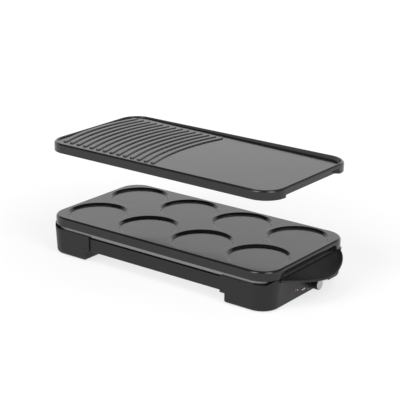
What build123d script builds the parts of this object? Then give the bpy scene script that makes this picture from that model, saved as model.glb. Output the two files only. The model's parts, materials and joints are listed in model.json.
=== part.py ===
from build123d import *
import os
from math import pi, sin, sqrt

# Electric griddle with two interchangeable cast plates: a moulded pancake plate that sits on the
# base, and a ribbed grill plate held straight above it.
# Millimetres. +X runs along the long side to the control end, +Y to the back, +Z up.
# The origin is on the floor, under the middle of the base.

os.makedirs("parts", exist_ok=True)

# ---- driving dimensions -------------------------------------------------------------------

# both cast plates
plate_length = 445.0
plate_width = 226.0
plate_corner = 36.0
plate_height = 15.0
plate_wall = 3.5
plate_edge_round = 4.2
plate_seat_z = 50.0
hover_gap = 111.0

# moulds of the pancake plate
mould_pitch = 108.0
mould_mouth_r = 50.0
mould_floor_r = 46.4
mould_depth = 3.6
mould_floor_round = 3.0
mould_mouth_round = 1.4
web_thickness = 4.0
track_width = 12.0
track_length = 372.0
track_z = 53.9

# floor and ribs of the grill plate
grill_rim = 5.0
grill_depth_left = 2.2
grill_depth_right = 6.2
grill_floor = 3.2
grill_wall_lean = 18.0
grill_floor_round = 1.2
rib_count = 14
rib_pitch = 14.1
rib_width = 7.8
rib_height = 1.8
rib_taper = 24.0
rib_arc_r = 320.0
last_rib_x = -28.5
rib_half_span = 90.0

# finger scoops under the short edges of both plates
scoop_length = 150.0
scoop_height = 9.5
scoop_depth = 7.0
scoop_draft = 37.0
scoop_corner = 7.0
scoop_wall = 3.0

# plastic base
base_half_width = 112.0
base_end_top = 222.5
base_end_foot = 219.0
base_corner = 30.0
base_wall = 2.8
rim_z_end = 48.5
rim_z_side = 43.8
rim_slope_start = 212.0
rim_slope_end = 219.7
seal_z = 49.7
seal_x = 221.2
seam_x = 132.0
leg_x = 141.0
leg_y = 62.0
control_leg_y = 30.0
leg_bottom_z = 1.0
leg_round = 4.4
web_z = 16.5
web_wall = 2.8
boss_r = 4.0
boss_hole_r = 1.5
boss_seam_x = 136.5
boss_seam_y = 70.0
boss_end_x = 200.0
boss_end_y = 89.0
boss_hole_depth = 9.0
bottom_screw_ys = (-94.0, -35.0, 35.0, 94.0)

# side panels and bottom plate
panel_y = 110.0
panel_wall = 3.6
panel_top_z = 40.6
panel_bottom_z = 18.8
tongue_x = 137.5
tongue_y = 109.0
panel_ledge = 9.0
bottom_plate_x = 144.0
bottom_plate_y = 105.5
bottom_plate_sheet = 0.8

# wing handles
handle_half_length = 84.0
handle_reach = 260.0
handle_arc_r = 118.6
handle_lip_z = 36.0
handle_lip_rise = 9.3
handle_lip = 3.2
handle_nose = 1.6
handle_root_x = 220.6
handle_root = 4.0
handle_sag = 0.12
handle_stations = 9

# reflector tray
tray_x = 218.6
tray_y = 109.0
tray_corner = 34.5
tray_sheet = 0.8
tray_flange = 6.0
tray_top_z = 49.7
tray_hem_z = 43.5
tray_floor_z = 33.0
tray_bottom_round = 4.0

# heating element
element_r = 4.0
element_z = 49.3
element_left_x = -188.0
element_turn_x = 150.0
element_end_x = 188.0
element_y_inner = 25.0
element_y_outer = 75.0
element_drop_r = 12.0
element_drop_end_z = 20.0
element_turn_r = 24.0
pin_r = 1.5
pin_length = 7.0
insulator_r = 6.2
insulator_low_z = 29.0
insulator_top_z = 36.0
support_xs = (-120.0, 0.0, 120.0)
support_width = 10.0
support_sheet = 1.2

# control end
dial_y = 8.0
dial_z = 16.5
dial_r = 9.6
dial_back_x = 221.3
dial_length = 13.7
dial_grips = 20
dial_grip_r = 0.8
cap_r = 7.9
cap_thickness = 1.4
cap_sink = 0.8
shaft_r = 3.0
running_gap = 0.05
shaft_back_x = 203.2
shaft_front_x = 231.0
lamp_y = -38.0
lamp_z = 19.0
lamp_r = 3.0
thermostat_length = 22.0
thermostat_front_x = 208.0
thermostat_width = 24.0
thermostat_low_z = 6.5
thermostat_top_z = 26.5
bushing_r = 5.0
bushing_front_x = 214.5
bracket_sheet = 1.2
bracket_half_width = 18.8
bracket_screw_y = 15.4
bracket_screw_tip_x = 216.0
thermostat_pole_spacing = 10.0
dial_skirt = 2.5
lens_back_x = 216.3
lens_front_x = 221.0
lamp_back_x = 200.0

# cord entry on the back wall of the control end
gland_x = 165.0
gland_z = 20.0
gland_bore_r = 3.6
gland_r = 6.4
gland_flange_r = 8.6
gland_flange = 0.8
gland_inner_y = 98.0
clamp_y = 91.0
clamp_depth = 8.0
clamp_length = 30.0
clamp_screw_x = 10.5
clamp_bar = 2.8
clamp_screw_length = 18.0
gland_nut_length = 4.0
block_y = 73.0
block_depth = 14.0
block_height = 12.0
pole_pitch = 9.0
pole_r = 1.7

# fasteners and feet
screw_r = 1.45
screw_head_r = 3.2
screw_head = 1.9
head_gap = 0.02
foot_r = 8.0
foot_height = 2.8
foot_x = 188.0
foot_y = 82.0
tray_screw_length = 8.5
bottom_screw_length = 6.0

# wiring
wire_r = 1.2
wire_bend = 3.0
wire_high_z = 25.0
wire_mid_z = 18.0
wire_low_z = 9.3
wire_drop_x = 174.0
earth_tag_y = 50.0
fuse_y = -35.0
fuse_length = 14.0
fuse_r = 2.6

# ---- sizes worked out from them -----------------------------------------------------------

plate_top_z = plate_seat_z + plate_height
grill_seat_z = plate_top_z + hover_gap
grill_top_z = grill_seat_z + plate_height
grill_floor_z = grill_top_z - (grill_depth_left + grill_depth_right) / 2
grill_fall = (grill_depth_right - grill_depth_left) / (plate_length - 2 * grill_rim)
mould_floor_z = plate_top_z - mould_depth
mould_under_z = mould_floor_z - plate_wall
web_top_z = web_z + web_wall
tray_bed_z = tray_floor_z + tray_sheet
boss_top_z = tray_floor_z - 0.2
wall_slope = (base_end_top - base_end_foot) / (rim_z_end - leg_bottom_z)
dial_front_x = dial_back_x + dial_length
element_drop_x = element_end_x + element_drop_r
bracket_front_x = thermostat_front_x + bracket_sheet + 0.4
bracket_screw_spots = [(dial_y + side * bracket_screw_y, dial_z) for side in (-1, 1)]
mould_columns = [column * mould_pitch for column in (-1.5, -0.5, 0.5, 1.5)]
mould_spots = [(x, row * mould_pitch) for x in mould_columns for row in (-0.5, 0.5)]
RISING = (Align.CENTER, Align.CENTER, Align.MIN)
HANGING = (Align.CENTER, Align.CENTER, Align.MAX)


def end_wall_x(z):
    """Outer face of the sloping end wall at a height."""
    return base_end_foot + wall_slope * (z - leg_bottom_z)


def save(piece, name):
    """Labels a finished piece and writes it to its own file."""
    piece.part.label = name
    export_step(piece.part, f"parts/{name}.step")


# ---- cast plates --------------------------------------------------------------------------


def plate_shell(seat_z, under_z):
    """Cast plate without its cooking surface: outline, skirt and finger scoops."""
    block_depth = scoop_depth + scoop_wall
    with BuildPart() as shell:
        with BuildSketch(Plane.XY.offset(seat_z)):
            RectangleRounded(plate_length, plate_width, plate_corner)
        extrude(amount=plate_height)
        fillet(faces().sort_by(Axis.Z)[-1].edges(), plate_edge_round)
        with BuildSketch(Plane.XY.offset(seat_z)):
            inner_length = plate_length - 2 * plate_wall
            inner_width = plate_width - 2 * plate_wall
            RectangleRounded(inner_length, inner_width, plate_corner - plate_wall)
        extrude(amount=under_z - seat_z, mode=Mode.SUBTRACT)
        for side in (-1, 1):
            face_x = side * plate_length / 2
            with Locations((face_x - side * (block_depth / 2 + 1), 0, seat_z)):
                Box(block_depth, scoop_length + 2 * scoop_wall, under_z - seat_z, align=RISING)
            # the pocket narrows inwards, so that it stays outside the cooking surface
            with BuildSketch(Plane.YZ.offset(face_x)):
                with Locations((0, seat_z)):
                    Rectangle(scoop_length, 2 * scoop_height)
                fillet(vertices(), scoop_corner)
            extrude(amount=-side * scoop_depth, taper=scoop_draft, mode=Mode.SUBTRACT)
    return shell.part


pancake_under_z = plate_top_z - web_thickness
with BuildPart() as pancake_plate:
    add(plate_shell(plate_seat_z, pancake_under_z))
    with Locations(*[(x, y, mould_under_z) for x, y in mould_spots]):
        Cylinder(mould_mouth_r + 1.5, web_thickness + 1, align=RISING)
    for track_y in (-element_y_outer, -element_y_inner, element_y_inner, element_y_outer):
        with Locations((0, track_y, track_z)):
            Box(track_length, track_width, pancake_under_z - track_z, align=RISING)
    with Locations(*[(x, y, mould_floor_z) for x, y in mould_spots]):
        Cone(mould_floor_r, mould_mouth_r, mould_depth, align=RISING, mode=Mode.SUBTRACT)
    circles = edges().filter_by(GeomType.CIRCLE)
    fillet(circles.filter_by(lambda edge: abs(edge.radius - mould_floor_r) < 0.01), mould_floor_round)
    circles = edges().filter_by(GeomType.CIRCLE)
    fillet(circles.filter_by(lambda edge: abs(edge.radius - mould_mouth_r) < 0.01), mould_mouth_round)
save(pancake_plate, "pancake_plate")


# the floor of the pan falls towards the control end, so that fat runs off the ribs
grill_floor_plane = Plane((0, 0, grill_floor_z), x_dir=(1, 0, -grill_fall), z_dir=(grill_fall, 0, 1))
grill_under_z = grill_top_z - grill_depth_right - grill_floor
with BuildPart() as grill_pan:
    with BuildSketch(Plane.XY.offset(grill_top_z)):
        mouth_length = plate_length - 2 * grill_rim
        mouth_width = plate_width - 2 * grill_rim
        RectangleRounded(mouth_length, mouth_width, plate_corner - grill_rim)
    extrude(amount=-grill_depth_right, taper=grill_wall_lean)
    split(bisect_by=grill_floor_plane, keep=Keep.TOP)
    fillet(faces().sort_by(Axis.Z)[0].edges(), grill_floor_round)
with BuildPart() as grill_plate:
    add(plate_shell(grill_seat_z, grill_under_z))
    add(grill_pan.part, mode=Mode.SUBTRACT)
    with BuildSketch(grill_floor_plane):
        for index in range(rib_count):
            centre_x = last_rib_x - index * rib_pitch + rib_arc_r
            half_angle = rib_half_span / rib_arc_r * 180 / pi
            with BuildLine():
                spine = CenterArc((centre_x, 0), rib_arc_r, 180 - half_angle, 2 * half_angle)
            SlotArc(spine, rib_width)
    extrude(amount=rib_height, taper=rib_taper)
save(grill_plate, "grill_plate")


# ---- end housings -------------------------------------------------------------------------


def end_block(low_z, high_z, inset, start_x):
    """Tapering block of an end housing: square at its seam, rounded at the outer corners."""
    with BuildPart() as block:
        for z in (low_z, high_z):
            length = end_wall_x(z) - inset - start_x
            with BuildSketch(Plane.XY.offset(z)):
                with Locations((start_x + length / 2, 0)):
                    Rectangle(length, 2 * (base_half_width - inset))
                fillet(vertices().group_by(Axis.X)[-1], base_corner - inset)
        loft()
    return block.part


def space_between_legs(leg_spans, grow, top_z):
    """Everything below top_z that isn't a leg, grown by the wall between leg and space."""
    with BuildPart() as space:
        with BuildSketch(Plane.XY.offset(top_z)):
            with Locations((leg_x + grow, 0)):
                Rectangle(40, 300, align=(Align.MAX, Align.CENTER))
            for near, far in zip(leg_spans, leg_spans[1:]):
                gap_low = near[1] - grow
                gap_high = far[0] + grow
                with Locations((leg_x, (gap_low + gap_high) / 2)):
                    Rectangle(120, gap_high - gap_low, align=(Align.MIN, Align.CENTER))
        extrude(amount=-(top_z + 1))
    return space.part


def sagging_arc(start, end):
    """Arc between two points of a section that dips below their chord."""
    chord = sqrt((end[0] - start[0]) ** 2 + (end[1] - start[1]) ** 2)
    middle = ((start[0] + end[0]) / 2, (start[1] + end[1]) / 2 - handle_sag * chord)
    ThreePointArc(start, middle, end)


def wing_handle():
    """Dished lip along an end wall, lowest and widest in the middle, level with the rim at its ends."""
    step = 2 * handle_half_length / (handle_stations - 1)
    with BuildPart() as wing:
        for station in range(handle_stations):
            y = -handle_half_length + station * step
            spread = sin(pi * y / (2 * handle_half_length)) ** 2
            tip_x = handle_reach - handle_arc_r + sqrt(handle_arc_r**2 - y**2)
            low_z = handle_lip_z + handle_lip_rise * spread
            high_z = low_z + handle_lip
            rim = (handle_root_x, rim_z_end)
            root = (handle_root_x - 0.5, rim_z_end - handle_root)
            upper = (tip_x - handle_nose, high_z)
            lower = (tip_x - handle_nose, low_z)
            with BuildSketch(Plane.XZ.offset(-y)):
                with BuildLine():
                    sagging_arc(rim, upper)
                    ThreePointArc(upper, (tip_x, (low_z + high_z) / 2), lower)
                    sagging_arc(lower, root)
                    Line(root, rim)
                make_face()
        loft()
    return wing.part


def end_housing(leg_spans):
    """End housing on the +X side: hollow block on legs, with its bosses and wing handle."""
    with BuildPart() as hollow:
        add(end_block(leg_bottom_z + base_wall, seal_z + 2, base_wall, seam_x - 1))
        add(space_between_legs(leg_spans, web_wall, web_top_z), mode=Mode.SUBTRACT)
    with BuildPart() as housing:
        add(end_block(leg_bottom_z, seal_z, 0, seam_x))
        add(space_between_legs(leg_spans, 0, web_z), mode=Mode.SUBTRACT)
        fillet(faces().sort_by(Axis.Z)[: len(leg_spans)].edges(), leg_round)
        add(hollow.part, mode=Mode.SUBTRACT)
        # the rim is low along the sides and rises to the end wall, where a thin rib closes the
        # gap under the plate
        with BuildSketch(Plane.XZ.offset(-150)):
            with BuildLine():
                Polyline(
                    (seam_x - 5, rim_z_side),
                    (rim_slope_start, rim_z_side),
                    (rim_slope_end, seal_z),
                    (seal_x, seal_z),
                    (seal_x, rim_z_end),
                    (base_end_top + 5, rim_z_end),
                    (base_end_top + 5, seal_z + 5),
                    (seam_x - 5, seal_z + 5),
                    close=True,
                )
            make_face()
        extrude(amount=300, mode=Mode.SUBTRACT)
        add(wing_handle())
        # bosses that carry the tray
        for depth in (-1, 1):
            with Locations((boss_seam_x, depth * boss_seam_y, web_z + 1)):
                Cylinder(boss_r, boss_top_z - web_z - 1, align=RISING)
            with Locations((boss_end_x, depth * boss_end_y, leg_bottom_z + 1)):
                Cylinder(boss_r, boss_top_z - leg_bottom_z - 1, align=RISING)
            for x, y in ((boss_seam_x, boss_seam_y), (boss_end_x, boss_end_y)):
                with Locations((x, depth * y, boss_top_z)):
                    Cylinder(boss_hole_r, boss_hole_depth, align=HANGING, mode=Mode.SUBTRACT)
            with Locations((foot_x, depth * foot_y, 0)):
                Cylinder(foot_r + running_gap, foot_height, align=RISING, mode=Mode.SUBTRACT)
        for y in bottom_screw_ys:
            with Locations((boss_seam_x, y, web_z - 1)):
                Cylinder(boss_hole_r, web_wall + 2, align=RISING, mode=Mode.SUBTRACT)
    return housing.part


plain_legs = ((-base_half_width - 1, -leg_y), (leg_y, base_half_width + 1))
control_legs = ((-base_half_width - 1, control_leg_y), (leg_y, base_half_width + 1))

with BuildPart() as right_end_housing:
    add(end_housing(control_legs))
    # bosses for the thermostat bracket, and the holes of the end wall
    with BuildSketch(Plane.YZ.offset(bracket_front_x)):
        with Locations(*bracket_screw_spots):
            Circle(boss_r - 0.5)
            Circle(boss_hole_r, mode=Mode.SUBTRACT)
    extrude(amount=base_end_foot - bracket_front_x)
    with BuildSketch(Plane.YZ.offset(base_end_foot - 8)):
        with Locations((dial_y, dial_z)):
            Circle(shaft_r + 0.8)
        with Locations((lamp_y, lamp_z)):
            Circle(lamp_r + running_gap)
    extrude(amount=16, mode=Mode.SUBTRACT)
    with BuildSketch(Plane.XZ.offset(-(base_half_width - base_wall - 2))):
        with Locations((gland_x, gland_z)):
            Circle(gland_r + running_gap)
    extrude(amount=-8, mode=Mode.SUBTRACT)
save(right_end_housing, "right_end_housing")

with BuildPart() as left_end_housing:
    mirror(end_housing(plain_legs), about=Plane.YZ)
save(left_end_housing, "left_end_housing")


# ---- side panels, bottom plate and feet ---------------------------------------------------


def side_panel(depth):
    """Recessed panel between the end housings, tucked behind them at both ends."""
    with BuildPart() as panel:
        with Locations((0, depth * (panel_y - panel_wall / 2), panel_bottom_z)):
            Box(2 * (seam_x - 0.2), panel_wall, panel_top_z - panel_bottom_z, align=RISING)
        tongue_wall = tongue_y - (panel_y - panel_wall)
        with Locations((0, depth * (tongue_y - tongue_wall / 2), web_top_z + 0.3)):
            Box(2 * tongue_x, tongue_wall, panel_top_z - web_top_z - 0.3, align=RISING)
        with Locations((0, depth * (panel_y - panel_wall - panel_ledge / 2), panel_bottom_z)):
            Box(2 * (seam_x - 0.2), panel_ledge, web_top_z - panel_bottom_z, align=RISING)
        low_edges = edges().filter_by(Axis.X).group_by(Axis.Z)[0]
        fillet(low_edges.sort_by(Axis.Y)[-1 if depth > 0 else 0], 1.2)
    return panel


for depth, name in ((-1, "front_side_panel"), (1, "back_side_panel")):
    save(side_panel(depth), name)

with BuildPart() as bottom_plate:
    with BuildSketch(Plane.XY.offset(web_top_z + 0.05)):
        RectangleRounded(2 * bottom_plate_x, 2 * bottom_plate_y, 4)
        with GridLocations(2 * boss_seam_x, 2 * boss_seam_y, 2, 2):
            Circle(boss_r + 0.6, mode=Mode.SUBTRACT)
        for y in bottom_screw_ys:
            with Locations((-boss_seam_x, y), (boss_seam_x, y)):
                Circle(boss_hole_r, mode=Mode.SUBTRACT)
        with GridLocations(18, 12, 9, 5):
            SlotOverall(9, 2.4, mode=Mode.SUBTRACT)
    extrude(amount=bottom_plate_sheet)
save(bottom_plate, "bottom_plate")

foot_names = {(-1, -1): "foot_front_left", (1, -1): "foot_front_right"}
foot_names |= {(-1, 1): "foot_back_left", (1, 1): "foot_back_right"}
for (side, depth), name in foot_names.items():
    with BuildPart() as foot:
        with Locations((side * foot_x, depth * foot_y, 0)):
            Cylinder(foot_r, foot_height, align=RISING)
        fillet(faces().sort_by(Axis.Z)[0].edges(), 0.6)
    save(foot, name)


# ---- reflector tray -----------------------------------------------------------------------


def tray_outline(inset):
    """Size of the tray's outline, inset all round: length, width and corner radius."""
    return 2 * (tray_x - inset), 2 * (tray_y - inset), tray_corner - inset


with BuildPart() as reflector_tray:
    # pan
    with BuildSketch(Plane.XY.offset(tray_floor_z)):
        RectangleRounded(*tray_outline(tray_flange - tray_sheet))
    extrude(amount=tray_top_z - tray_floor_z)
    fillet(faces().sort_by(Axis.Z)[0].edges(), tray_bottom_round)
    # flange and hem
    with BuildSketch(Plane.XY.offset(tray_hem_z)):
        RectangleRounded(*tray_outline(0))
        RectangleRounded(*tray_outline(tray_sheet), mode=Mode.SUBTRACT)
    extrude(amount=tray_top_z - tray_hem_z)
    with BuildSketch(Plane.XY.offset(tray_top_z - tray_sheet)):
        RectangleRounded(*tray_outline(0))
    extrude(amount=tray_sheet)
    fillet(faces().sort_by(Axis.Z)[-1].edges(), tray_sheet * 0.7)
    # hollow
    with BuildPart(mode=Mode.PRIVATE) as tray_hollow:
        with BuildSketch(Plane.XY.offset(tray_bed_z)):
            RectangleRounded(*tray_outline(tray_flange))
        extrude(amount=tray_top_z - tray_bed_z + 1)
        fillet(faces().sort_by(Axis.Z)[0].edges(), tray_bottom_round - tray_sheet)
    add(tray_hollow.part, mode=Mode.SUBTRACT)
    # holes for the screws and for the ends of the element
    for x, y in ((boss_seam_x, boss_seam_y), (boss_end_x, boss_end_y)):
        with Locations((0, 0, tray_floor_z - 1)):
            with GridLocations(2 * x, 2 * y, 2, 2):
                Cylinder(boss_hole_r, 3, align=RISING, mode=Mode.SUBTRACT)
    with Locations((element_drop_x, 0, tray_floor_z - 1)):
        with GridLocations(0, 2 * element_y_outer, 1, 2):
            Cylinder(insulator_r + running_gap, 3, align=RISING, mode=Mode.SUBTRACT)
save(reflector_tray, "reflector_tray")


# ---- heating element ----------------------------------------------------------------------

with BuildPart() as heating_element:
    with BuildLine() as element_path:
        near_end = (element_drop_x, -element_y_outer, element_drop_end_z)
        FilletPolyline(
            near_end,
            (element_drop_x, -element_y_outer, element_z),
            (element_left_x, -element_y_outer, element_z),
            (element_left_x, -element_y_inner, element_z),
            (element_turn_x, -element_y_inner, element_z),
            (element_turn_x, element_y_inner, element_z),
            (element_left_x, element_y_inner, element_z),
            (element_left_x, element_y_outer, element_z),
            (element_drop_x, element_y_outer, element_z),
            (element_drop_x, element_y_outer, element_drop_end_z),
            radius=[element_drop_r] + 6 * [element_turn_r] + [element_drop_r],
        )
    with BuildSketch(Plane(origin=near_end, z_dir=(0, 0, 1))):
        Circle(element_r)
    sweep()
save(heating_element, "heating_element")

with BuildPart() as element_pins:
    with Locations((element_drop_x, 0, element_drop_end_z)):
        with GridLocations(0, 2 * element_y_outer, 1, 2):
            Cylinder(pin_r, pin_length, align=HANGING)
save(element_pins, "element_pins")

with BuildPart() as element_insulators:
    with Locations((element_drop_x, 0, insulator_low_z)):
        with GridLocations(0, 2 * element_y_outer, 1, 2):
            Cylinder(insulator_r, insulator_top_z - insulator_low_z, align=RISING)
            Cylinder(
                element_r + running_gap,
                insulator_top_z - insulator_low_z,
                align=RISING,
                mode=Mode.SUBTRACT,
            )
save(element_insulators, "element_insulators")

with BuildPart() as element_supports:
    for x in support_xs:
        with BuildSketch(Plane.YZ.offset(x - support_width / 2)):
            for y in (-element_y_outer, -element_y_inner, element_y_inner, element_y_outer):
                saddle_r = element_r + running_gap
                with Locations((y, element_z)):
                    Circle(saddle_r + support_sheet)
                    Circle(saddle_r, mode=Mode.SUBTRACT)
                    Rectangle(20, 20, align=(Align.CENTER, Align.MIN), mode=Mode.SUBTRACT)
                stem_low = tray_bed_z + 0.05
                with Locations((y, stem_low)):
                    Rectangle(
                        support_sheet,
                        element_z - saddle_r - support_sheet / 2 - stem_low,
                        align=(Align.CENTER, Align.MIN),
                    )
                    Rectangle(14, support_sheet, align=(Align.CENTER, Align.MIN))
        extrude(amount=support_width)
save(element_supports, "element_supports")


# ---- control end --------------------------------------------------------------------------


def bar_along_x(start_x, end_x, radius, y, z):
    """Round bar along X."""
    with BuildPart() as bar:
        with BuildSketch(Plane.YZ.offset(start_x)):
            with Locations((y, z)):
                Circle(radius)
        extrude(amount=end_x - start_x)
    return bar.part


with BuildPart() as thermostat_body:
    body_height = thermostat_top_z - thermostat_low_z
    with Locations((thermostat_front_x - thermostat_length / 2, dial_y, thermostat_low_z)):
        Box(thermostat_length, thermostat_width, body_height, align=RISING)
    fillet(edges().filter_by(Axis.X), 2)
    add(bar_along_x(thermostat_front_x - 1, bushing_front_x, bushing_r, dial_y, dial_z))
    hole = bar_along_x(shaft_back_x - 0.2, bushing_front_x, shaft_r + running_gap, dial_y, dial_z)
    add(hole, mode=Mode.SUBTRACT)
save(thermostat_body, "thermostat_body")

with BuildPart() as thermostat_bracket:
    with BuildSketch(Plane.YZ.offset(thermostat_front_x + 0.05)):
        with Locations((dial_y, (thermostat_low_z + thermostat_top_z) / 2)):
            Rectangle(2 * bracket_half_width, body_height)
        fillet(vertices(), 3)
        with Locations((dial_y, dial_z)):
            Circle(bushing_r + running_gap, mode=Mode.SUBTRACT)
        with Locations(*bracket_screw_spots):
            Circle(boss_hole_r, mode=Mode.SUBTRACT)
    extrude(amount=bracket_sheet)
save(thermostat_bracket, "thermostat_bracket")

with BuildPart() as bracket_screws:
    for y, z in bracket_screw_spots:
        add(bar_along_x(thermostat_front_x - screw_head, thermostat_front_x, screw_head_r, y, z))
        add(bar_along_x(thermostat_front_x, bracket_screw_tip_x, screw_r, y, z))
save(bracket_screws, "bracket_screws")

with BuildPart() as thermostat_shaft:
    add(bar_along_x(shaft_back_x, shaft_front_x, shaft_r, dial_y, dial_z))
save(thermostat_shaft, "thermostat_shaft")

with BuildPart() as dial_knob:
    with BuildSketch(Plane.YZ.offset(dial_back_x)):
        with Locations((dial_y, dial_z)):
            Circle(dial_r)
    extrude(amount=dial_skirt)
    fillet(faces().sort_by(Axis.X)[-1].edges(), 0.8)
    with BuildSketch(Plane.YZ.offset(dial_back_x)):
        with Locations((dial_y, dial_z)):
            Circle(dial_r - dial_grip_r)
            with PolarLocations(dial_r - dial_grip_r, dial_grips):
                Circle(dial_grip_r, mode=Mode.SUBTRACT)
    extrude(amount=dial_length)
    pocket = bar_along_x(dial_front_x - cap_sink, dial_front_x, cap_r + running_gap, dial_y, dial_z)
    add(pocket, mode=Mode.SUBTRACT)
    hole = bar_along_x(dial_back_x, shaft_front_x + 0.1, shaft_r + 0.02, dial_y, dial_z)
    add(hole, mode=Mode.SUBTRACT)
save(dial_knob, "dial_knob")

with BuildPart() as dial_cap:
    add(bar_along_x(dial_front_x - cap_sink, dial_front_x - cap_sink + cap_thickness, cap_r, dial_y, dial_z))
    fillet(faces().sort_by(Axis.X)[-1].edges(), 0.5)
save(dial_cap, "dial_cap")

with BuildPart() as indicator_lens:
    add(bar_along_x(lens_back_x, lens_front_x, lamp_r, lamp_y, lamp_z))
    fillet(faces().sort_by(Axis.X)[-1].edges(), 1.2)
save(indicator_lens, "indicator_lens")

with BuildPart() as indicator_lamp:
    add(bar_along_x(lamp_back_x, lens_back_x - 0.1, lamp_r - 0.5, lamp_y, lamp_z))
    fillet(faces().sort_by(Axis.X)[-1].edges(), 1)
save(indicator_lamp, "indicator_lamp")


# ---- cord entry ---------------------------------------------------------------------------


def bar_along_y(start_y, end_y, radius, x, z):
    """Round bar along Y."""
    with BuildPart() as bar:
        with BuildSketch(Plane.XZ.offset(-start_y)):
            with Locations((x, z)):
                Circle(radius)
        extrude(amount=start_y - end_y)
    return bar.part


with BuildPart() as cable_gland:
    flange_y = base_half_width + 0.02
    add(bar_along_y(gland_inner_y, flange_y + gland_flange, gland_r, gland_x, gland_z))
    add(bar_along_y(flange_y, flange_y + gland_flange, gland_flange_r, gland_x, gland_z))
    bore = bar_along_y(gland_inner_y - 1, flange_y + gland_flange + 1, gland_bore_r, gland_x, gland_z)
    add(bore, mode=Mode.SUBTRACT)
save(cable_gland, "cable_gland")

with BuildPart() as gland_nut:
    with BuildSketch(Plane.XZ.offset(-(base_half_width - base_wall - 0.1))):
        with Locations((gland_x, gland_z)):
            RegularPolygon(gland_flange_r, 6)
            Circle(gland_r + running_gap, mode=Mode.SUBTRACT)
    extrude(amount=gland_nut_length)
save(gland_nut, "gland_nut")

leg_floor_z = leg_bottom_z + base_wall + 0.05
clamp_low_top_z = gland_z - gland_bore_r - 0.2
clamp_bar_z = gland_z + gland_bore_r + 0.2
clamp_screw_spots = ((gland_x - clamp_screw_x, clamp_y), (gland_x + clamp_screw_x, clamp_y))
with BuildPart() as cord_clamp:
    for low_z, high_z in ((leg_floor_z, clamp_low_top_z), (clamp_bar_z, clamp_bar_z + clamp_bar)):
        with Locations((gland_x, clamp_y, low_z)):
            Box(clamp_length, clamp_depth, high_z - low_z, align=RISING)
    with Locations(*[(x, y, clamp_bar_z + clamp_bar) for x, y in clamp_screw_spots]):
        Cylinder(boss_hole_r, clamp_screw_length + 0.5, align=HANGING, mode=Mode.SUBTRACT)
save(cord_clamp, "cord_clamp")

with BuildPart() as terminal_block:
    with Locations((gland_x, block_y, leg_floor_z)):
        Box(clamp_length, block_depth, block_height, align=RISING)
    fillet(edges().filter_by(Axis.Z), 1.5)
    block_top_z = leg_floor_z + block_height
    with Locations((gland_x, block_y, block_top_z)):
        with GridLocations(pole_pitch, block_depth / 2, 3, 2):
            Cylinder(pole_r, 5, align=HANGING, mode=Mode.SUBTRACT)
save(terminal_block, "terminal_block")


# ---- wiring -------------------------------------------------------------------------------


def wire(points, radius, bend):
    """Insulated wire along straight runs joined by bends."""
    start = Vector(*points[0])
    with BuildPart() as lead:
        with BuildLine():
            FilletPolyline(*points, radius=bend)
        with BuildSketch(Plane(origin=start, z_dir=Vector(*points[1]) - start)):
            Circle(radius)
        sweep()
    return lead.part


wire_start_z = block_top_z + 0.05
back_x = thermostat_front_x - thermostat_length - 0.1
switch_live_y = dial_y - thermostat_pole_spacing / 2
switch_load_y = dial_y + thermostat_pole_spacing / 2
pin_tip_z = element_drop_end_z - pin_length - 0.1
pole_y = block_y + block_depth / 4

with BuildPart() as wire_live:
    pole_x = gland_x - pole_pitch
    route = [
        (pole_x, pole_y, wire_start_z),
        (pole_x, pole_y, wire_high_z),
        (pole_x, switch_live_y, wire_high_z),
        (wire_drop_x, switch_live_y, wire_high_z),
        (wire_drop_x, switch_live_y, wire_mid_z),
        (back_x, switch_live_y, wire_mid_z),
    ]
    add(wire(route, wire_r, wire_bend))
save(wire_live, "wire_live")

with BuildPart() as wire_switched:
    to_fuse = [
        (back_x, switch_load_y, wire_mid_z),
        (wire_drop_x, switch_load_y, wire_mid_z),
        (wire_drop_x, switch_load_y, wire_low_z),
        (wire_drop_x, fuse_y + fuse_length / 2 + 0.1, wire_low_z),
    ]
    add(wire(to_fuse, wire_r, wire_bend))
    to_pin = [
        (wire_drop_x, fuse_y - fuse_length / 2 - 0.1, wire_low_z),
        (wire_drop_x, -element_y_outer, wire_low_z),
        (element_drop_x, -element_y_outer, wire_low_z),
        (element_drop_x, -element_y_outer, pin_tip_z),
    ]
    add(wire(to_pin, wire_r, wire_bend))
save(wire_switched, "wire_switched")

with BuildPart() as thermal_fuse:
    add(bar_along_y(fuse_y - fuse_length / 2, fuse_y + fuse_length / 2, fuse_r, wire_drop_x, wire_low_z))
    fillet(edges().filter_by(GeomType.CIRCLE), 0.8)
save(thermal_fuse, "thermal_fuse")

with BuildPart() as wire_neutral:
    pole_x = gland_x + pole_pitch
    turn_x = element_drop_x - 12
    route = [
        (pole_x, pole_y, wire_start_z),
        (pole_x, pole_y, wire_start_z + 7),
        (turn_x, element_y_outer, wire_start_z + 7),
        (turn_x, element_y_outer, wire_low_z),
        (element_drop_x, element_y_outer, wire_low_z),
        (element_drop_x, element_y_outer, pin_tip_z),
    ]
    add(wire(route, wire_r, wire_bend))
save(wire_neutral, "wire_neutral")

with BuildPart() as wire_earth:
    route = [
        (gland_x, pole_y, wire_start_z),
        (gland_x, pole_y, wire_high_z - 1),
        (gland_x, earth_tag_y, wire_high_z - 1),
        (gland_x, earth_tag_y, tray_floor_z - 0.1),
    ]
    add(wire(route, wire_r, wire_bend))
save(wire_earth, "wire_earth")

with BuildPart() as lamp_leads:
    for offset, turn in ((1.1, 8), (-1.1, 11)):
        lead_y = lamp_y + offset
        route = [
            (lamp_back_x - 0.1, lead_y, lamp_z),
            (lamp_back_x - turn, lead_y, lamp_z),
            (lamp_back_x - turn, dial_y - thermostat_width / 2 - 0.1, lamp_z),
        ]
        add(wire(route, wire_r / 2, wire_bend))
save(lamp_leads, "lamp_leads")


# ---- screws -------------------------------------------------------------------------------


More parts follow.
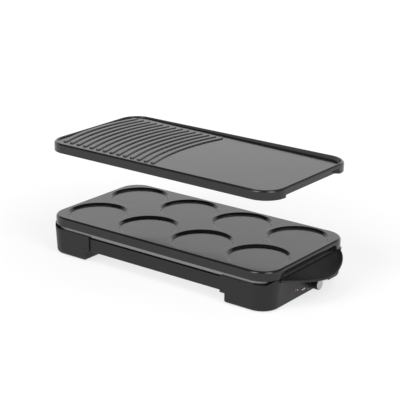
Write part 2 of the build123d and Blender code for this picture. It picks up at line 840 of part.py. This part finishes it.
def screws(spots, head_z, length, up):
    """Pan head screws with their heads resting at head_z: shanks up, or hanging down."""
    shank = RISING if up else HANGING
    head = HANGING if up else RISING
    with BuildPart() as group:
        for x, y in spots:
            with Locations((x, y, head_z)):
                Cylinder(screw_r, length, align=shank)
                Cylinder(screw_head_r, screw_head, align=head)
    return group


tray_screw_spots = [
    (side * x, depth * y)
    for x, y in ((boss_seam_x, boss_seam_y), (boss_end_x, boss_end_y))
    for side in (-1, 1)
    for depth in (-1, 1)
]
bottom_screw_spots = [(side * boss_seam_x, y) for side in (-1, 1) for y in bottom_screw_ys]
clamp_head_z = clamp_bar_z + clamp_bar + head_gap
save(screws(tray_screw_spots, tray_bed_z + head_gap, tray_screw_length, False), "tray_screws")
save(screws(bottom_screw_spots, web_z - head_gap, bottom_screw_length, True), "bottom_screws")
save(screws(clamp_screw_spots, clamp_head_z, clamp_screw_length, False), "clamp_screws")
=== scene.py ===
import json
import math

import bmesh
import bpy
from mathutils import Matrix, Vector


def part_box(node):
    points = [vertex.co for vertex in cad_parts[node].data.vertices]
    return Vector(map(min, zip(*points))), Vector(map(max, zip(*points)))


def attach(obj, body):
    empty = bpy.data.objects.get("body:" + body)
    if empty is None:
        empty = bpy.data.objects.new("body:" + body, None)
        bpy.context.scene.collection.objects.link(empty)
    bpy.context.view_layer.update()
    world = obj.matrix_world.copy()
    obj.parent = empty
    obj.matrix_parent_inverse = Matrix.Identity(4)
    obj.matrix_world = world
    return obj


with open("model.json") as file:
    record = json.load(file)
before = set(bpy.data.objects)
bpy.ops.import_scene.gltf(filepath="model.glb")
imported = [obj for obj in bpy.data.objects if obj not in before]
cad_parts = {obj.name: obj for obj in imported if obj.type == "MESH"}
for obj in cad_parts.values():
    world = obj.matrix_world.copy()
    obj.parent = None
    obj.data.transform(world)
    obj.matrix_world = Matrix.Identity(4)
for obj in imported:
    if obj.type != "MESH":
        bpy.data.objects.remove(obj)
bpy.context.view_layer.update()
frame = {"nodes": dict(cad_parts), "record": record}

MM = 0.001


# ---- node helpers -------------------------------------------------------------------------

# the Mix node has several sockets of one name, so its colour sockets are known by their places
MIX_FIRST_COLOUR = 6
MIX_SECOND_COLOUR = 7
MIX_COLOUR_RESULT = 2


class Recipe:
    """A node material under construction, with short calls for the nodes that every recipe uses."""

    def __init__(self, name):
        self.material = bpy.data.materials.new(name)
        self.material.use_nodes = True
        self.tree = self.material.node_tree
        self.tree.nodes.clear()
        self.shader = self.tree.nodes.new("ShaderNodeBsdfPrincipled")
        output = self.tree.nodes.new("ShaderNodeOutputMaterial")
        self.tree.links.new(self.shader.outputs["BSDF"], output.inputs["Surface"])
        self.place = self.tree.nodes.new("ShaderNodeTexCoord").outputs["Object"]

    def link(self, source, node, socket):
        self.tree.links.new(source, node.inputs[socket])

    def set(self, **values):
        """Sets the shader's own sockets; Coat_Weight stands for the socket named Coat Weight."""
        for key, value in values.items():
            self.shader.inputs[key.replace("_", " ")].default_value = value

    def stretched(self, scale):
        """Object coordinates scaled along each axis, for grain that runs one way."""
        mapping = self.tree.nodes.new("ShaderNodeMapping")
        mapping.inputs["Scale"].default_value = scale
        self.link(self.place, mapping, "Vector")
        return mapping.outputs["Vector"]

    def noise(self, scale, detail=3.0, roughness=0.5, place=None):
        """Noise factor over the object coordinates, or over another place socket."""
        node = self.tree.nodes.new("ShaderNodeTexNoise")
        node.inputs["Scale"].default_value = scale
        node.inputs["Detail"].default_value = detail
        node.inputs["Roughness"].default_value = roughness
        self.link(place or self.place, node, "Vector")
        return node.outputs["Fac"]

    def spread(self, source, low, high, from_low=0.3, from_high=0.7):
        """Maps the range of a factor that noise mostly fills, or another range, to low and high."""
        node = self.tree.nodes.new("ShaderNodeMapRange")
        node.inputs["From Min"].default_value = from_low
        node.inputs["From Max"].default_value = from_high
        node.inputs["To Min"].default_value = low
        node.inputs["To Max"].default_value = high
        self.link(source, node, "Value")
        return node.outputs["Result"]

    def mix(self, factor, first, second):
        """Blends two colours, each a colour or a socket, by a factor socket."""
        node = self.tree.nodes.new("ShaderNodeMix")
        node.data_type = "RGBA"
        self.tree.links.new(factor, node.inputs["Factor"])
        pairs = ((node.inputs[MIX_FIRST_COLOUR], first), (node.inputs[MIX_SECOND_COLOUR], second))
        for socket, value in pairs:
            if isinstance(value, tuple):
                socket.default_value = (*value, 1.0)
            else:
                self.tree.links.new(value, socket)
        return node.outputs[MIX_COLOUR_RESULT]

    def colour(self, source):
        self.link(source, self.shader, "Base Color")

    def roughness(self, source):
        self.link(source, self.shader, "Roughness")

    def bump(self, *layers):
        """Stacks bumps, each a (height socket, depth in millimetres, strength)."""
        normal = None
        for height, depth, strength in layers:
            node = self.tree.nodes.new("ShaderNodeBump")
            node.inputs["Distance"].default_value = depth * MM
            node.inputs["Strength"].default_value = strength
            self.link(height, node, "Height")
            if normal is not None:
                self.link(normal, node, "Normal")
            normal = node.outputs["Normal"]
        self.link(normal, self.shader, "Normal")


# ---- materials ----------------------------------------------------------------------------


def nonstick_coating():
    """Satin dark grey non-stick coating over cast aluminium, with a fine sprayed speckle."""
    r = Recipe("nonstick_coating")
    dark = (0.008, 0.0082, 0.0088)
    light = (0.012, 0.0122, 0.013)
    fleck = (0.035, 0.035, 0.037)
    drift = r.noise(9.0, detail=4.0)
    speckle = r.noise(1400.0, detail=2.0, roughness=0.7)
    base = r.mix(r.spread(drift, 0.0, 1.0), dark, light)
    r.colour(r.mix(r.spread(speckle, 0.0, 1.0, from_low=0.62, from_high=0.78), base, fleck))
    r.roughness(r.spread(r.noise(60.0, detail=5.0), 0.13, 0.17))
    fine = r.noise(900.0, detail=3.0, roughness=0.6)
    coarse = r.noise(220.0, detail=2.0)
    r.bump((fine, 0.03, 0.5), (coarse, 0.05, 0.35))
    r.set(IOR=1.42)
    return r.material


def moulded_plastic(name, tone, rough):
    """Black moulded plastic or rubber with a fine spark-eroded texture."""
    r = Recipe(name)
    drift = r.noise(14.0)
    low = (tone * 0.9, tone * 0.9, tone * 0.92)
    high = (tone * 1.15, tone * 1.15, tone * 1.17)
    r.colour(r.mix(r.spread(drift, 0.0, 1.0), low, high))
    r.roughness(r.spread(r.noise(85.0, detail=4.0), *rough))
    fine = r.noise(1500.0, detail=2.0, roughness=0.6)
    coarse = r.noise(420.0, detail=2.0)
    r.bump((fine, 0.02, 0.35), (coarse, 0.02, 0.25))
    r.set(IOR=1.38)
    return r.material


def sheet_metal(name, tone, rough, stretch=(1.0, 14.0, 14.0)):
    """Rolled, drawn or spun metal with faint lines along X, or plain grain if stretch is even."""
    r = Recipe(name)
    lines = r.noise(240.0, detail=4.0, roughness=0.6, place=r.stretched(stretch))
    low = tuple(v * 0.86 for v in tone)
    r.colour(r.mix(r.spread(lines, 0.0, 1.0), low, tone))
    r.roughness(r.spread(lines, rough - 0.06, rough + 0.08))
    waves = r.noise(35.0, detail=2.0)
    r.bump((lines, 0.01, 0.3), (waves, 0.05, 0.12))
    r.set(Metallic=1.0)
    return r.material


def simple_finish(name, tone, rough, variation=0.12):
    """A moulded, fired or drawn surface of one colour with its own fine grain and drift."""
    r = Recipe(name)
    drift = r.noise(30.0)
    low = tuple(v * (1 - variation) for v in tone)
    high = tuple(min(1.0, v * (1 + variation)) for v in tone)
    r.colour(r.mix(r.spread(drift, 0.0, 1.0), low, high))
    r.roughness(r.spread(r.noise(120.0), rough - 0.05, rough + 0.05))
    r.bump((r.noise(500.0), 0.02, 0.4))
    return r.material


def red_lens():
    """Deep red glossy lens, drawn opaque."""
    r = Recipe("red_lens")
    dark = (0.085, 0.007, 0.007)
    light = (0.12, 0.01, 0.009)
    r.colour(r.mix(r.spread(r.noise(700.0), 0.0, 1.0), dark, light))
    r.roughness(r.spread(r.noise(300.0), 0.12, 0.2))
    r.bump((r.noise(900.0), 0.01, 0.2))
    r.set(IOR=1.49)
    return r.material


materials = {
    "nonstick_cast": nonstick_coating(),
    "black_plastic": moulded_plastic("moulded_plastic", tone=0.008, rough=(0.4, 0.48)),
    "knob_plastic": moulded_plastic("knob_plastic", tone=0.008, rough=(0.32, 0.4)),
    "gland_rubber": moulded_plastic("gland_rubber", tone=0.02, rough=(0.6, 0.7)),
    "foot_rubber": moulded_plastic("foot_rubber", tone=0.022, rough=(0.65, 0.75)),
    "tray_steel": sheet_metal("tray_steel", tone=(0.25, 0.25, 0.25), rough=0.3),
    "zinc_sheet": sheet_metal("zinc_sheet", tone=(0.5, 0.51, 0.52), rough=0.42),
    "screw_steel": sheet_metal(
        "screw_steel", tone=(0.56, 0.56, 0.55), rough=0.34, stretch=(6.0, 6.0, 6.0)
    ),
    "cap_silver": sheet_metal(
        "cap_silver", tone=(0.46, 0.46, 0.47), rough=0.27, stretch=(4.0, 10.0, 10.0)
    ),
    "element_sheath": sheet_metal(
        "element_sheath", tone=(0.14, 0.125, 0.115), rough=0.45, stretch=(2.0, 9.0, 9.0)
    ),
    "ceramic_white": simple_finish("ceramic_white", tone=(0.74, 0.72, 0.67), rough=0.55),
    "thermoset_brown": simple_finish(
        "thermoset_brown", tone=(0.07, 0.04, 0.025), rough=0.4, variation=0.3
    ),
    "terminal_plastic": simple_finish("terminal_plastic", tone=(0.7, 0.69, 0.64), rough=0.4),
    "lamp_glass": simple_finish("lamp_glass", tone=(0.75, 0.68, 0.6), rough=0.12),
    "wire_brown": simple_finish("wire_brown", tone=(0.16, 0.07, 0.03), rough=0.5),
    "wire_blue": simple_finish("wire_blue", tone=(0.03, 0.1, 0.35), rough=0.5),
    "wire_green": simple_finish("wire_green", tone=(0.1, 0.28, 0.05), rough=0.5),
    "wire_white": simple_finish("wire_white", tone=(0.68, 0.68, 0.65), rough=0.6),
    "lens_red": red_lens(),
}

# every CAD node keeps its shape and only gets the finish of its slot
for subpart in frame["record"]["subparts"]:
    node = frame["nodes"][subpart["node"]]
    finish = materials[subpart["material_slot"]]
    for slot in node.material_slots:
        slot.material = finish


# ---- printed marks on the control end -----------------------------------------------------

# two points up the end wall, which leans outwards towards its top, in metres; each print stands
# print_height proud of the wall and reaches print_depth into it
wall_foot = Vector((0.219, 0.0, 0.001))
wall_top = Vector((0.2225, 0.0, 0.0485))
print_height = 0.00006
print_depth = 0.0001


def wall_point(y, z, lift=0.0):
    """Point of the leaning end wall at (y, z) in millimetres, moved out along X by lift in metres."""
    rise = (z * MM - wall_foot.z) / (wall_top.z - wall_foot.z)
    return Vector((wall_foot.x + rise * (wall_top.x - wall_foot.x) + lift, y * MM, z * MM))


def flat_mark(mesh_builder, outline):
    """Adds a thin closed mark with this outline of (y, z) corners, printed on the end wall."""
    front = [mesh_builder.verts.new(wall_point(y, z, print_height)) for y, z in outline]
    back = [mesh_builder.verts.new(wall_point(y, z, -print_depth)) for y, z in outline]
    mesh_builder.faces.new(front)
    mesh_builder.faces.new(list(reversed(back)))
    for index in range(len(outline)):
        after = (index + 1) % len(outline)
        mesh_builder.faces.new((front[index], back[index], back[after], front[after]))


def printed(name, outlines, finish):
    """A group of printed marks on the control end, as one piece that rides with the base."""
    builder = bmesh.new()
    for outline in outlines:
        flat_mark(builder, outline)
    bmesh.ops.recalc_face_normals(builder, faces=builder.faces)
    mesh = bpy.data.meshes.new(name)
    builder.to_mesh(mesh)
    builder.free()
    piece = bpy.data.objects.new(name, mesh)
    bpy.context.collection.objects.link(piece)
    mesh.materials.append(finish)
    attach(piece, "base")


def turned(centre, radius, angle):
    """Point at a radius and an angle about a centre, both in (y, z) millimetres."""
    return (centre[0] + radius * math.cos(angle), centre[1] + radius * math.sin(angle))


dial_low, dial_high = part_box("dial_knob")
dial_centre = ((dial_low.y + dial_high.y) / 2 / MM, (dial_low.z + dial_high.z) / 2 / MM)
dial_radius = (dial_high.y - dial_low.y) / 2 / MM

# ticks from the low end of the dial's travel to its high end: angles in degrees, sizes in millimetres
tick_count = 9
first_tick_angle = 225.0
dial_travel = 270.0
tick_gap = 1.3
long_tick = 2.4
short_tick = 1.5
tick_half_width = 0.35

# outlines in (y, z) millimetres: the wedge widens towards the dial, the mark is between wedge and lamp
heat_wedge = [(-19.0, 11.3), (-9.5, 11.0), (-9.5, 13.4), (-19.0, 12.1)]
lamp_mark = [(-32.2, 15.2), (-30.2, 15.2), (-30.2, 17.2), (-32.2, 17.2)]


def scale_ticks():
    """Short radial ticks over the dial's travel, longer at every second one."""
    outlines = []
    inner = dial_radius + tick_gap
    for index in range(tick_count):
        angle = math.radians(first_tick_angle - index * dial_travel / (tick_count - 1))
        outer = inner + (long_tick if index % 2 == 0 else short_tick)
        outlines.append(
            [
                turned(dial_centre, inner, angle - tick_half_width / inner),
                turned(dial_centre, outer, angle - tick_half_width / outer),
                turned(dial_centre, outer, angle + tick_half_width / outer),
                turned(dial_centre, inner, angle + tick_half_width / inner),
            ]
        )
    return outlines


print_white = simple_finish("print_white", tone=(0.62, 0.62, 0.6), rough=0.5)
printed("dial_scale", scale_ticks(), print_white)
printed("heat_wedge", [heat_wedge], print_white)
printed("lamp_mark", [lamp_mark], print_white)


# ---- camera -------------------------------------------------------------------------------

view_azimuth = math.radians(37.03)
view_elevation = math.radians(18.5)
view_roll = math.radians(0.51)
view_distance = 2.229
view_target = Vector((-0.0687, 0.1031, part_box("pancake_plate")[1].z))
view_lens = 117.0
sensor_width = 36.0
far_clip = 50.0


def add_camera():
    """Camera at the front right, raised, aimed at the height of the pancake plate's top."""
    back = Vector(
        (
            math.sin(view_azimuth) * math.cos(view_elevation),
            -math.cos(view_azimuth) * math.cos(view_elevation),
            math.sin(view_elevation),
        )
    )
    level = Vector((math.cos(view_azimuth), math.sin(view_azimuth), 0.0))
    rise = back.cross(level)
    right = level * math.cos(view_roll) + rise * math.sin(view_roll)
    up = rise * math.cos(view_roll) - level * math.sin(view_roll)
    camera = bpy.data.objects.new("camera", bpy.data.cameras.new("camera"))
    bpy.context.collection.objects.link(camera)
    turn = Matrix((right, up, back)).transposed().to_4x4()
    camera.matrix_world = Matrix.Translation(view_target + back * view_distance) @ turn
    camera.data.lens = view_lens
    camera.data.sensor_width = sensor_width
    camera.data.clip_end = far_clip
    bpy.context.scene.camera = camera


add_camera()


# ---- floor and light ----------------------------------------------------------------------

floor_half_size = 14.0

# painted shade: the floor glows less within glow_from of the middle, darkening it around the object
# where the soft shadow lies, and fully past glow_to
painted_shade_glow = 0.73
glow_far = 0.95
glow_from = 0.3
glow_to = 1.1


def add_floor():
    """Pale floor, large enough to run out of every view, whose glow dims towards the middle as painted
    shade around the object.
    """
    mesh = bpy.data.meshes.new("floor")
    half = floor_half_size
    corners = [(-half, -half, 0), (half, -half, 0), (half, half, 0), (-half, half, 0)]
    mesh.from_pydata(corners, [], [(0, 1, 2, 3)])
    floor = bpy.data.objects.new("floor", mesh)
    bpy.context.collection.objects.link(floor)
    r = Recipe("pale_floor")
    dark = (0.24, 0.24, 0.24)
    light = (0.25, 0.25, 0.25)
    r.colour(r.mix(r.spread(r.noise(3.0), 0.0, 1.0), dark, light))
    r.set(Roughness=0.9, Emission_Color=(1.0, 1.0, 1.0, 1.0))
    reach = r.tree.nodes.new("ShaderNodeVectorMath")
    reach.operation = "LENGTH"
    r.link(r.place, reach, "Vector")
    # painted shade: weaker emission near the middle darkens the floor around the object
    glow = r.spread(reach.outputs["Value"], painted_shade_glow, glow_far, glow_from, glow_to)
    r.link(glow, r.shader, "Emission Strength")
    mesh.materials.append(r.material)


# the world fades from wall to ceiling as a direction's Z rises from wall_top_low to wall_top_high
wall_brightness = 1.2
ceiling_brightness = 0.04
wall_top_low = 0.4
wall_top_high = 0.6

# places and sizes of the soft panels in metres, powers in watts
front_right_corner = (0.18, -0.08, 0.1)
middle = (0.0, 0.0, 0.1)
low_panel_size = (0.6, 1.0)
low_panel_power = 12.0
high_panel_size = (2.6, 1.6)
high_panel_power = 8.0
panel_front_place = (-0.13, -1.02, 1.23)
panel_right_place = (1.05, -0.33, 1.23)
panel_above_place = (-0.5, 1.2, 2.6)


def add_panel(name, place, target, size, power):
    """Soft light panel at a place, facing a target."""
    light = bpy.data.lights.new(name, "AREA")
    light.shape = "RECTANGLE"
    light.size, light.size_y = size
    light.energy = power
    panel = bpy.data.objects.new(name, light)
    bpy.context.collection.objects.link(panel)
    direction = Vector(target) - Vector(place)
    panel.location = place
    panel.rotation_euler = direction.to_track_quat("-Z", "Y").to_euler()


def add_light():
    """White studio: pale walls to a middle height all round, a dark ceiling, and soft panels."""
    world = bpy.data.worlds.new("studio")
    bpy.context.scene.world = world
    world.use_nodes = True
    tree = world.node_tree
    tree.nodes["Background"].inputs["Color"].default_value = (1.0, 1.0, 1.0, 1.0)
    direction = tree.nodes.new("ShaderNodeTexCoord").outputs["Generated"]
    height = tree.nodes.new("ShaderNodeSeparateXYZ")
    tree.links.new(direction, height.inputs[0])
    walls = tree.nodes.new("ShaderNodeMapRange")
    walls.interpolation_type = "SMOOTHSTEP"
    walls.inputs["From Min"].default_value = wall_top_low
    walls.inputs["From Max"].default_value = wall_top_high
    walls.inputs["To Min"].default_value = wall_brightness
    walls.inputs["To Max"].default_value = ceiling_brightness
    tree.links.new(height.outputs["Z"], walls.inputs["Value"])
    tree.links.new(walls.outputs["Result"], tree.nodes["Background"].inputs["Strength"])
    # the first two draw the short highlights on the rounded rims of the front right corner
    add_panel("panel_front", panel_front_place, front_right_corner, low_panel_size, low_panel_power)
    add_panel("panel_right", panel_right_place, front_right_corner, low_panel_size, low_panel_power)
    add_panel("panel_above", panel_above_place, middle, high_panel_size, high_panel_power)


add_floor()
add_light()
bpy.context.scene.view_settings.view_transform = "Standard"
bpy.context.scene.view_settings.exposure = 0.0
